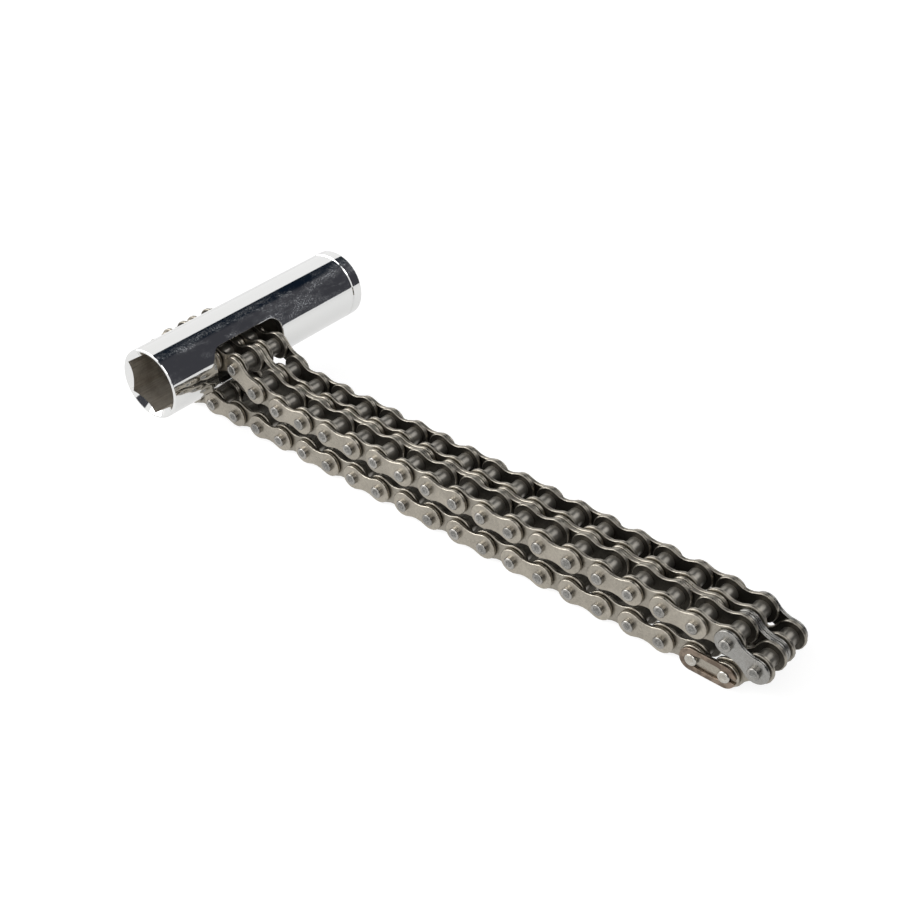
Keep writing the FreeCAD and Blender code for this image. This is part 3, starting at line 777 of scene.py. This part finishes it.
def socket_shape(sizes, radius, low, high):
    """The whole socket body: plated outside, bare in its recesses, oily in the bore."""
    middle = low + sizes.window_place
    rows = skin_rows(sizes, radius, low, high)
    bore = radius - sizes.bore_wall
    deep = low + sizes.hexagon_depth
    shelf = high - sizes.square_depth
    mesh = bmesh.new()
    for half in (
        outside_half(sizes, radius, rows, middle),
        bore_half(sizes, bore, radius, middle, deep, shelf),
    ):
        data = as_data(half, "half")
        mesh.from_mesh(data)
        bpy.data.meshes.remove(data)
    mirrored(mesh, "X")
    bmesh.ops.remove_doubles(mesh, verts=mesh.verts[:], dist=SEAM)
    rim = radius - sizes.rim_round
    hexagon = partial(hexagon_reach, 2 * (radius - sizes.hexagon_wall))
    square = partial(square_reach, sizes.square_width, sizes.square_corner)
    lead = rim - sizes.mouth_wall
    recessed(mesh, rim, bore, hexagon, lead, math.tan(sizes.lead_angle), low, deep)
    lead = sizes.square_width / 2 + sizes.square_lead
    recessed(mesh, rim, bore, square, lead, -1, high, shelf)
    bmesh.ops.remove_doubles(mesh, verts=mesh.verts[:], dist=SEAM)
    bmesh.ops.recalc_face_normals(mesh, faces=mesh.faces[:])
    return kept(mesh, "socket_shape", 28)


# Shader maths


class Wire:
    """A socket that adds, subtracts and multiplies by building Math nodes."""

    def __init__(self, maker, socket):
        self.maker = maker
        self.socket = socket

    def maths(self, operation, first, second):
        return self.maker.node("ShaderNodeMath", {"operation": operation}, {0: first, 1: second})

    def __add__(self, other):
        return self.maths("ADD", self, other)

    __radd__ = __add__

    def __sub__(self, other):
        return self.maths("SUBTRACT", self, other)

    def __rsub__(self, other):
        return self.maths("SUBTRACT", other, self)

    def __mul__(self, other):
        return self.maths("MULTIPLY", self, other)


class Nodes:
    """The nodes of a material or of the world, under construction."""

    def __init__(self, owner):
        self.owner = owner
        owner.use_nodes = True
        self.tree = owner.node_tree
        self.tree.nodes.clear()

    def node(self, kind, given, inputs, output=0):
        """Adds one node: its settings first, then its sockets' values or links; returns one output."""
        made = self.tree.nodes.new(kind)
        for name, value in given.items():
            setattr(made, name, value)
        for name, value in inputs.items():
            if isinstance(value, Wire):
                self.tree.links.new(value.socket, made.inputs[name])
            else:
                made.inputs[name].default_value = value
        return Wire(self, made.outputs[output] if made.outputs else None)

    def place(self):
        """Object coordinates."""
        return self.node("ShaderNodeTexCoord", {}, {}, "Object")

    def along(self, axis):
        """One of the object coordinates."""
        return self.node("ShaderNodeSeparateXYZ", {}, {"Vector": self.place()}, axis)

    def rays(self, kind):
        """1 for rays of one kind, otherwise 0."""
        return self.node("ShaderNodeLightPath", {}, {}, f"Is {kind} Ray")

    def stretched(self, scale):
        """Object coordinates multiplied along each axis."""
        return self.node("ShaderNodeMapping", {}, {"Vector": self.place(), "Scale": scale})

    def noise(self, scale, detail, rough, at=None):
        """Smooth noise, from about 0.25 to 0.75."""
        where = at or self.place()
        values = {"Vector": where, "Scale": scale, "Detail": detail, "Roughness": rough}
        return self.node("ShaderNodeTexNoise", {}, values, "Fac")

    def between(self, value, low, high):
        """0 below low, 1 above high, smooth between them."""
        values = {"Value": value, "From Min": low, "From Max": high}
        return self.node("ShaderNodeMapRange", {"interpolation_type": "SMOOTHSTEP"}, values)

    def mixed(self, factor, first, second):
        """A colour between two colours."""
        colours = {0: factor, 6: padded(first), 7: padded(second)}
        return self.node("ShaderNodeMix", {"data_type": "RGBA"}, colours, 2)

    def bumped(self, height, distance, strength):
        """A normal from a height map."""
        values = {"Height": height, "Distance": distance, "Strength": strength}
        return self.node("ShaderNodeBump", {}, values)

    def shown(self, shader, output="ShaderNodeOutputMaterial"):
        """Ends in a shader; returns what the nodes belong to."""
        self.node(output, {}, {"Surface": shader})
        return self.owner

    def finish(self, colour, metallic, roughness, normal):
        """Ends in one metallic shader."""
        values = {"Base Color": colour, "Metallic": metallic, "Roughness": roughness, "Normal": normal}
        return self.shown(self.node("ShaderNodeBsdfPrincipled", {}, values))


def material(name):
    """The nodes of a new material."""
    return Nodes(bpy.data.materials.new(name))


def padded(value):
    """A colour with its fourth number."""
    return value if isinstance(value, Wire) else (*value, 1)


# Metals: noise is given by its scale per metre, detail and roughness

# Side of the socket that was wiped, round its axis from level
WIPED_SIDE = math.radians(47)


def toward(metal, side):
    """Cosine of the angle round the socket's axis between a point and one side."""
    low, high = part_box("socket_body")
    middle = middle_of("socket_body")
    radius = (high.z - low.z) / 2
    right = metal.along("X") - middle.x
    up = metal.along("Z") - middle.z
    return right * (math.cos(side) / radius) + up * (math.sin(side) / radius)


def chrome_metal(name, finishes):
    """Polished chrome with speckled, dried wipe marks in long patches."""
    metal = material(name)
    long = metal.stretched((1.0, 0.30, 1.0))
    patch = metal.between(metal.noise(150, 5, 0.7, long), 0.42, 0.60)
    speck = metal.between(metal.noise(2500, 4, 0.7), 0.50, 0.60)
    wiped = metal.between(toward(metal, WIPED_SIDE), 0.86, 0.985)
    haze = patch * (0.12 + speck * 0.88) * (0.10 + wiped * 0.90)
    return metal.finish(
        colour=metal.mixed(haze, finishes.chrome, finishes.chrome_haze),
        metallic=1.0 - haze * 0.46,
        roughness=0.05 + haze * 0.18,
        normal=metal.bumped(metal.noise(160, 2, 0.5, long), 0.00003, 0.10),
    )


def bare_metal(name, finishes):
    """Unplated steel with broaching streaks along the axis and brown shade."""
    metal = material(name)
    along = metal.stretched((1.0, 0.06, 1.0))
    streak = metal.between(metal.noise(1400, 3, 0.6, along), 0.35, 0.68)
    shade = metal.between(metal.noise(140, 4, 0.6), 0.38, 0.66)
    dark = metal.mixed(shade * 0.7, finishes.bare_wall, finishes.bare_dark)
    return metal.finish(
        colour=metal.mixed(streak * 0.55, dark, finishes.bare_dark),
        metallic=0.75,
        roughness=0.36 + streak * 0.18,
        normal=metal.bumped(streak, 0.00004, 0.4),
    )


def stamped_metal(name, light, dark, gloss):
    """Tumbled and oiled plate steel: mottled shade, fine grain, worn gloss."""
    metal = material(name)
    cloud = metal.between(metal.noise(110, 3, 0.6), 0.34, 0.66)
    mottle = metal.between(metal.noise(1500, 4, 0.65), 0.34, 0.70)
    grain = metal.noise(6500, 2, 0.6)
    shade = cloud * 0.26 + mottle * 0.30
    return metal.finish(
        colour=metal.mixed(shade, light, dark),
        metallic=1.0,
        roughness=gloss + mottle * 0.14 - cloud * 0.05,
        normal=metal.bumped(mottle + grain * 0.5, 0.00003, 0.5),
    )


def turned_metal(name, light, dark, gloss, metallic=1.0):
    """Drawn and ground steel of bushes and pins: even shade with fine grain."""
    metal = material(name)
    cloud = metal.between(metal.noise(260, 2, 0.5), 0.36, 0.66)
    grain = metal.noise(4200, 3, 0.6)
    return metal.finish(
        colour=metal.mixed(cloud * 0.5, light, dark),
        metallic=metallic,
        roughness=gloss + grain * 0.14,
        normal=metal.bumped(grain, 0.00002, 0.4),
    )


def marked_metal(name, light, dark):
    """A hammered pin end: coarse pits and specks."""
    metal = material(name)
    pits = metal.between(metal.noise(1900, 4, 0.7), 0.40, 0.62)
    return metal.finish(
        colour=metal.mixed(pits * 0.75, light, dark),
        metallic=1.0,
        roughness=0.30 + pits * 0.15,
        normal=metal.bumped(pits, 0.00006, 0.8),
    )


def temper_metal(name, finishes):
    """Spring steel with brown temper colour, darker in places."""
    metal = material(name)
    shade = metal.between(metal.noise(420, 3, 0.6), 0.40, 0.62)
    grain = metal.noise(5200, 2, 0.6)
    return metal.finish(
        colour=metal.mixed(shade, finishes.clip, finishes.clip_dark),
        metallic=1.0,
        roughness=0.24 + grain * 0.16,
        normal=metal.bumped(grain, 0.00002, 0.4),
    )


def metal_named(name):
    """A metal of this scene, made once."""
    made = bpy.data.materials.get(name)
    if made:
        return made
    look = settings("metal_finishes")
    makers = {
        "polished_chrome": (chrome_metal, look),
        "bare_recess": (bare_metal, look),
        "plate_steel": (stamped_metal, look.plate, look.plate_dark, 0.30),
        # The inner plates' darker colour is painted shade from the outer plates
        "inner_plate_shaded_steel": (stamped_metal, look.inner_plate_shaded, look.plate_dark, 0.30),
        "cool_plate_steel": (stamped_metal, look.cool_plate, look.plate_dark, 0.26),
        # Painted shade for the gaps between the plates
        "plate_inside_shade_steel": (stamped_metal, look.plate_inside_shade, look.bore_dark, 0.42),
        "bush_steel": (turned_metal, look.bush, look.bush_dark, 0.28, 0.80),
        "oily_bore": (turned_metal, look.bore, look.bore_dark, 0.40),
        "pin_steel": (turned_metal, look.pin, look.pin_dark, 0.20),
        "pin_mark_steel": (marked_metal, look.pin_mark, look.pin_dark),
        "bright_pin_steel": (turned_metal, look.bright_pin, look.plate, 0.16),
        "bright_mark_steel": (marked_metal, look.bright_pin, look.plate),
        "temper_brown": (temper_metal, look),
    }
    make, *given = makers[name]
    return make(name, *given)


# Operators

# The riveted link whose plates look bluish
COOL_LINK = "outer_link_10"


def nodes_of(kind):
    """The nodes whose names start with a kind of link."""
    return [node for node in sorted(frame["nodes"]) if node.startswith(kind)]


class ADDON_OT_socket_body(bpy.types.Operator):
    """Build the chromed socket body"""

    bl_idname = "filter_socket.socket_body"
    bl_label = "Socket body"

    def execute(self, context):
        sizes = settings("socket_sizes")
        low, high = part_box("socket_body")
        turn = next(joint for joint in frame["joints"] if joint["child"] == "socket_body")
        axis = Vector(turn["pos_m"])
        axis.y = 0
        data = socket_shape(sizes, (high.z - low.z) / 2, low.y, high.y)
        matrix = Matrix.Translation(axis) @ Matrix.Rotation(-sizes.window_turn, 4, "Y")
        metals = ("polished_chrome", "bare_recess", "oily_bore")
        placed(data, "forged_tube", metals, matrix, "socket_body", "chrome_plate", "socket_body")
        return {"FINISHED"}


class ADDON_OT_inner_links(bpy.types.Operator):
    """Build the inner links: four plates on four bushes each"""

    bl_idname = "filter_socket.inner_links"
    bl_label = "Inner links"

    def execute(self, context):
        sizes = settings("chain_sizes")
        plate = plate_shape(sizes, False)
        strand = sizes.strand_spacing / 2
        places = plate_places(sizes, False)
        data = link_shape("bushed_link", places, plate, bush_shape(sizes), (-strand, strand))
        # The inner plates' colour is darkened as painted shade
        metals = ("inner_plate_shaded_steel", "plate_inside_shade_steel", "bush_steel")
        for node in nodes_of("inner_link_"):
            name = node.replace("inner_link", "bushed_link")
            placed(data, name, metals, link_matrix(node), node, "link_steel", node)
        return {"FINISHED"}


class ADDON_OT_outer_links(bpy.types.Operator):
    """Build the riveted outer links: four plates on two pins each"""

    bl_idname = "filter_socket.outer_links"
    bl_label = "Riveted links"

    def execute(self, context):
        sizes = settings("chain_sizes")
        plate = plate_shape(sizes, True)
        places = plate_places(sizes, True)
        data = link_shape("riveted_link", places, plate, pin_shape(sizes, False), (0,))
        for node in nodes_of("outer_link_"):
            steel = "cool_plate_steel" if node == COOL_LINK else "plate_steel"
            # The plates' inward sides carry painted shade
            metals = (steel, "plate_inside_shade_steel", "pin_steel", "pin_mark_steel")
            name = node.replace("outer_link", "riveted_link")
            placed(data, name, metals, link_matrix(node), node, "link_steel", node)
        return {"FINISHED"}


class ADDON_OT_connecting_link(bpy.types.Operator):
    """Build the connecting link with its loose plate and spring clip"""

    bl_idname = "filter_socket.connecting_link"
    bl_label = "Connecting link"

    def execute(self, context):
        sizes = settings("chain_sizes")
        body = "connecting_link"
        matrix = link_matrix(body, "inner_link_10")
        plate = plate_shape(sizes, True)
        front, *others = plate_places(sizes, True)
        data = link_shape("joining_link", others, plate, pin_shape(sizes, True), (0,))
        metals = ("plate_steel", "plate_inside_shade_steel", "bright_pin_steel", "bright_mark_steel")
        placed(data, "joining_link", metals, matrix, body, "link_steel", body)
        loose = joined([(plate, (0, front, 0), 0)], "joining_plate")
        placed(loose, "joining_plate", metals[:2], matrix, body, "link_steel", "connecting_plate")
        clip = clip_shape(sizes)
        metals = ("temper_brown",)
        placed(clip, "lock_clip", metals, matrix, body, "tempered_spring_steel", "spring_clip")
        return {"FINISHED"}


# The studio: how far the floor lies under the object, and its cards
FLOOR_GAP = 0.00005
CARD_FRONT = -1.6
CARD_LENGTH = 4.6
CARD_STEPS = 40
CARD_EDGE_SHARES = (0.42, 0.66)
FRONT_CARD_SIZE = (0.46, 0.22, 1)
FRONT_CARD_TURN = math.radians(72)
FRONT_CARD_PLACE = (-0.24, -0.97, 0.35)


class ADDON_OT_studio(bpy.types.Operator):
    """Set up the floor, backdrop, lamps and camera"""

    bl_idname = "filter_socket.studio"
    bl_label = "Studio"

    def execute(self, context):
        studio = settings("studio_settings")
        add_camera(studio)
        add_floor(studio)
        add_dark_card(studio)
        add_lamp("side_lamp", (-0.80, -0.50, 0.40), 0.7, studio.side_lamp)
        add_lamp("top_lamp", (-0.45, -0.62, 0.76), 0.7, studio.top_lamp)
        add_lamp("front_lamp", (0.30, -0.75, 0.65), 0.6, studio.front_lamp)
        lamp = add_lamp("chain_lamp", (0.33, 0.67, 0.70), 0.6, studio.chain_lamp)
        lamp.light_linking.receiver_collection = chain_pieces()
        add_front_card(studio)
        set_world(studio)
        context.scene.view_settings.view_transform = "Standard"
        return {"FINISHED"}


def looking(place, aim):
    """Where a camera or lamp stands and how it is turned to face another place."""
    sight = Vector(aim) - Vector(place)
    return Matrix.Translation(place) @ sight.to_track_quat("-Z", "Y").to_matrix().to_4x4()


def add_camera(studio):
    """The photograph's viewpoint."""
    lens = bpy.data.cameras.new("camera")
    lens.lens = studio.focal_length
    lens.sensor_width = 36
    lens.clip_start = 0.01
    lens.clip_end = 50
    camera = added("camera", lens)
    lean = Matrix.Rotation(studio.camera_lean, 4, "Z")
    camera.matrix_world = looking(studio.camera_place, studio.camera_aim) @ lean
    bpy.context.scene.camera = camera


def add_lamp(name, place, width, watts):
    """A square soft lamp that faces the object."""
    light = bpy.data.lights.new(name, "AREA")
    light.shape = "SQUARE"
    light.size = width
    light.energy = watts
    lamp = added(name, light)
    lamp.matrix_world = looking(place, (0, 0, 0.01))
    return lamp


def chain_pieces():
    """A collection of every piece that rides on a link, for a lamp that lights these alone."""
    found = bpy.data.collections.new("chain_pieces")
    for piece in bpy.context.scene.objects:
        if piece.name.startswith(("bushed_", "riveted_", "joining_", "lock_")):
            found.objects.link(piece)
    return found


def add_floor(studio):
    """A plain floor that keeps the object's shadow, white to the camera and in reflections."""
    mesh = bmesh.new()
    bmesh.ops.create_grid(mesh, x_segments=4, y_segments=4, size=studio.floor_size / 2)
    bmesh.ops.translate(mesh, verts=mesh.verts[:], vec=(0, 0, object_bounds()[0].z - FLOOR_GAP))
    data = as_data(mesh, "floor")
    paper = material("floor_paper")
    tone = studio.floor_tone
    plain = paper.node("ShaderNodeBsdfDiffuse", {}, {"Color": (tone, tone, tone, 1)})
    mirrored_rays = paper.rays("Glossy") + paper.rays("Transmission")
    strength = paper.rays("Camera") * studio.floor_glow + mirrored_rays * studio.floor_mirrored
    glow = paper.node("ShaderNodeEmission", {}, {"Color": (1, 1, 1, 1), "Strength": strength})
    data.materials.append(paper.shown(paper.node("ShaderNodeAddShader", {}, {0: plain, 1: glow})))
    floor = added("floor", data)
    floor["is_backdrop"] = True


def add_card(name, mesh, paper, shade):
    """A card that is seen only in polished metal."""
    data = as_data(mesh, name)
    data.materials.append(paper.shown(paper.node("ShaderNodeEmission", {}, {"Color": shade})))
    card = added(name, data)
    for kind in ("camera", "diffuse", "transmission", "volume_scatter", "shadow"):
        setattr(card, f"visible_{kind}", False)
    card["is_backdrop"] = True


def add_dark_card(studio):
    """A curved dark card overhead and to the right, darker towards its left edge."""
    mesh = bmesh.new()
    radius = studio.card_radius
    first = studio.card_start
    start = mesh.verts.new((radius * math.cos(first), CARD_FRONT, radius * math.sin(first)))
    drawn_to(mesh, start, start.co + Vector((0, CARD_LENGTH, 0)))
    spun(mesh, whole(mesh), (0, 0, 0), (0, -1, 0), studio.card_end - first, CARD_STEPS)
    middle = middle_of("socket_body").x
    bmesh.ops.translate(mesh, verts=mesh.verts[:], vec=(middle, 0, 0))
    paper = material("dark_card_paper")
    left = middle + radius * math.cos(studio.card_end)
    edge_end, card_full = (left + part * radius for part in CARD_EDGE_SHARES)
    shade = paper.between(paper.along("X"), edge_end, card_full)
    add_card("dark_card", mesh, paper, paper.mixed(shade, studio.card_edge, studio.dark_card))


def add_front_card(studio):
    """A small dark card in front, for the cone of the mouth."""
    mesh = bmesh.new()
    bmesh.ops.create_grid(mesh, x_segments=2, y_segments=2, size=0.5)
    bmesh.ops.scale(mesh, verts=mesh.verts[:], vec=FRONT_CARD_SIZE)
    bmesh.ops.rotate(mesh, verts=mesh.verts[:], matrix=Matrix.Rotation(FRONT_CARD_TURN, 3, "X"))
    bmesh.ops.translate(mesh, verts=mesh.verts[:], vec=FRONT_CARD_PLACE)
    add_card("front_card", mesh, material("front_card_paper"), padded(studio.dark_card))


def set_world(studio):
    """White where it is seen or mirrored, softer where it lights the object."""
    sky = Nodes(bpy.data.worlds.new("studio"))
    rays = {0: sky.rays("Camera"), 1: sky.rays("Glossy")}
    seen = sky.node("ShaderNodeMath", {"operation": "MAXIMUM"}, rays)
    strength = seen * (1 - studio.sky_light) + studio.sky_light
    back = sky.node("ShaderNodeBackground", {}, {"Color": (1, 1, 1, 1), "Strength": strength})
    bpy.context.scene.world = sky.shown(back, "ShaderNodeOutputWorld")


class ADDON_PT_filter_socket(bpy.types.Panel):
    """Lists the pieces to build and their sizes"""

    bl_label = "Filter socket"
    bl_idname = "ADDON_PT_filter_socket"
    bl_space_type = "VIEW_3D"
    bl_region_type = "UI"
    bl_category = "Filter socket"

    def draw(self, context):
        for operator in OPERATORS:
            self.layout.operator(operator.bl_idname)
        for group, kind in GROUPS.items():
            box = self.layout.box()
            box.label(text=kind.__doc__)
            for name in kind.__annotations__:
                box.prop(settings(group), name)


OPERATORS = (
    ADDON_OT_socket_body,
    ADDON_OT_inner_links,
    ADDON_OT_outer_links,
    ADDON_OT_connecting_link,
    ADDON_OT_studio,
)
CLASSES = (*GROUPS.values(), *OPERATORS, ADDON_PT_filter_socket)


def register():
    for kind in CLASSES:
        bpy.utils.register_class(kind)
    for group, kind in GROUPS.items():
        setattr(bpy.types.Scene, group, bpy.props.PointerProperty(type=kind))


def unregister():
    for group in GROUPS:
        delattr(bpy.types.Scene, group)
    for kind in reversed(CLASSES):
        bpy.utils.unregister_class(kind)


def main():
    register()
    bpy.ops.filter_socket.socket_body()
    bpy.ops.filter_socket.inner_links()
    bpy.ops.filter_socket.outer_links()
    bpy.ops.filter_socket.connecting_link()
    bpy.ops.filter_socket.studio()


if __name__ == "__main__":
    main()
